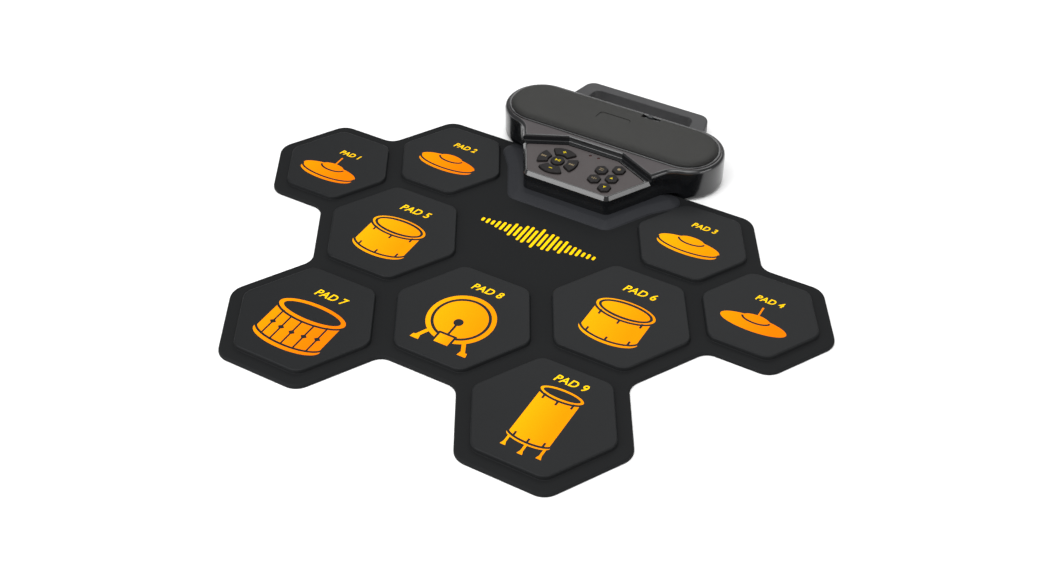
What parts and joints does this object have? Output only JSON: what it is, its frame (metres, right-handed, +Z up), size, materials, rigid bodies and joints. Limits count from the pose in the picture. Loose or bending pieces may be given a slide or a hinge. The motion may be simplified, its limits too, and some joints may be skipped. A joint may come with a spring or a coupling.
{
  "type": "electronic drum pad",
  "caption": "Flat silicone drum mat with raised hexagonal pads, clamped to a console with push-buttons, a speaker bar and a carry handle.",
  "frame": {"origin": "centre of the bounding box on the table plane", "axes": "+X to the player's right along the speaker bar, +Y away from the player towards the handle, +Z up from the table"},
  "size_m": [0.4692, 0.4086, 0.0322],
  "materials": {
    "silicone": "matte silicone, fine grained",
    "backing": "matte, slightly tacky sheet",
    "film": "printed polyester film",
    "sensor": "pressure sensor disc, matte",
    "gloss": "polished black moulding",
    "grille": "fine dark mesh",
    "panel": "satin warm dark grey",
    "key": "satin moulded key",
    "rubber": "matte rubber",
    "board": "green circuit board, solder-masked",
    "cell": "heat-shrink sleeve",
    "lens": "unlit indicator lens",
    "metal": "plain steel",
    "knob": "light grey moulding",
    "paper": "black pressed paper",
    "handle": "satin black moulding"
  },
  "bodies": {
    "base": {"mat_top": "silicone", "mat_backing": "backing", "sensor_film": "film", "sensor_kick": "sensor", "sensor_snare": "sensor", "sensor_tom_high": "sensor", "sensor_tom_low": "sensor", "sensor_tom_floor": "sensor", "sensor_hihat": "sensor", "sensor_crash_left": "sensor", "sensor_crash_right": "sensor", "sensor_ride": "sensor", "console_top_case": "gloss", "console_bottom_case": "gloss", "speaker_grille": "grille", "control_panel": "panel", "keypad_membrane": "rubber", "key_board": "board", "main_board": "board", "battery_pack": "cell", "status_led_left": "lens", "status_led_right": "lens", "kick_pedal_socket": "gloss", "hihat_pedal_socket": "gloss", "headphone_socket": "gloss", "usb_socket": "metal", "power_switch_body": "metal", "speaker_frame_left": "metal", "speaker_cone_left": "paper", "speaker_magnet_left": "metal", "speaker_frame_right": "metal", "speaker_cone_right": "paper", "speaker_magnet_right": "metal", "carry_handle": "handle", "mat_clamp_plate": "gloss", "clamp_screw_1": "metal", "clamp_screw_2": "metal", "case_screw_1": "metal", "case_screw_2": "metal", "case_screw_3": "metal", "case_screw_4": "metal", "handle_screw_1": "metal", "handle_screw_2": "metal", "foot_1": "rubber", "foot_2": "rubber", "foot_3": "rubber", "foot_4": "rubber"},
    "button_play_body": {"button_play": "key"},
    "button_right_body": {"button_right": "key"},
    "button_up_body": {"button_up": "key"},
    "button_left_body": {"button_left": "key"},
    "button_down_body": {"button_down": "key"},
    "button_hex_1_body": {"button_hex_1": "key"},
    "button_hex_2_body": {"button_hex_2": "key"},
    "button_hex_3_body": {"button_hex_3": "key"},
    "button_hex_4_body": {"button_hex_4": "key"},
    "button_hex_5_body": {"button_hex_5": "key"},
    "power_switch_knob_body": {"power_switch_knob": "knob"}
  },
  "joints": [
    {"name": "button_play_press", "type": "slide", "parent": "base", "child": "button_play_body", "axis": [0, 0, -1], "range_m": [0, 0.001], "stiffness_N_per_m": 400, "springref_m": -0.0005},
    {"name": "button_right_press", "type": "slide", "parent": "base", "child": "button_right_body", "axis": [0, 0, -1], "range_m": [0, 0.001], "stiffness_N_per_m": 400, "springref_m": -0.0005},
    {"name": "button_up_press", "type": "slide", "parent": "base", "child": "button_up_body", "axis": [0, 0, -1], "range_m": [0, 0.001], "stiffness_N_per_m": 400, "springref_m": -0.0005},
    {"name": "button_left_press", "type": "slide", "parent": "base", "child": "button_left_body", "axis": [0, 0, -1], "range_m": [0, 0.001], "stiffness_N_per_m": 400, "springref_m": -0.0005},
    {"name": "button_down_press", "type": "slide", "parent": "base", "child": "button_down_body", "axis": [0, 0, -1], "range_m": [0, 0.001], "stiffness_N_per_m": 400, "springref_m": -0.0005},
    {"name": "button_hex_1_press", "type": "slide", "parent": "base", "child": "button_hex_1_body", "axis": [0, 0, -1], "range_m": [0, 0.001], "stiffness_N_per_m": 400, "springref_m": -0.0005},
    {"name": "button_hex_2_press", "type": "slide", "parent": "base", "child": "button_hex_2_body", "axis": [0, 0, -1], "range_m": [0, 0.001], "stiffness_N_per_m": 400, "springref_m": -0.0005},
    {"name": "button_hex_3_press", "type": "slide", "parent": "base", "child": "button_hex_3_body", "axis": [0, 0, -1], "range_m": [0, 0.001], "stiffness_N_per_m": 400, "springref_m": -0.0005},
    {"name": "button_hex_4_press", "type": "slide", "parent": "base", "child": "button_hex_4_body", "axis": [0, 0, -1], "range_m": [0, 0.001], "stiffness_N_per_m": 400, "springref_m": -0.0005},
    {"name": "button_hex_5_press", "type": "slide", "parent": "base", "child": "button_hex_5_body", "axis": [0, 0, -1], "range_m": [0, 0.001], "stiffness_N_per_m": 400, "springref_m": -0.0005},
    {"name": "power_switch_slide", "type": "slide", "parent": "base", "child": "power_switch_knob_body", "axis": [1, 0, 0], "range_m": [0, 0.003]}
  ]
}
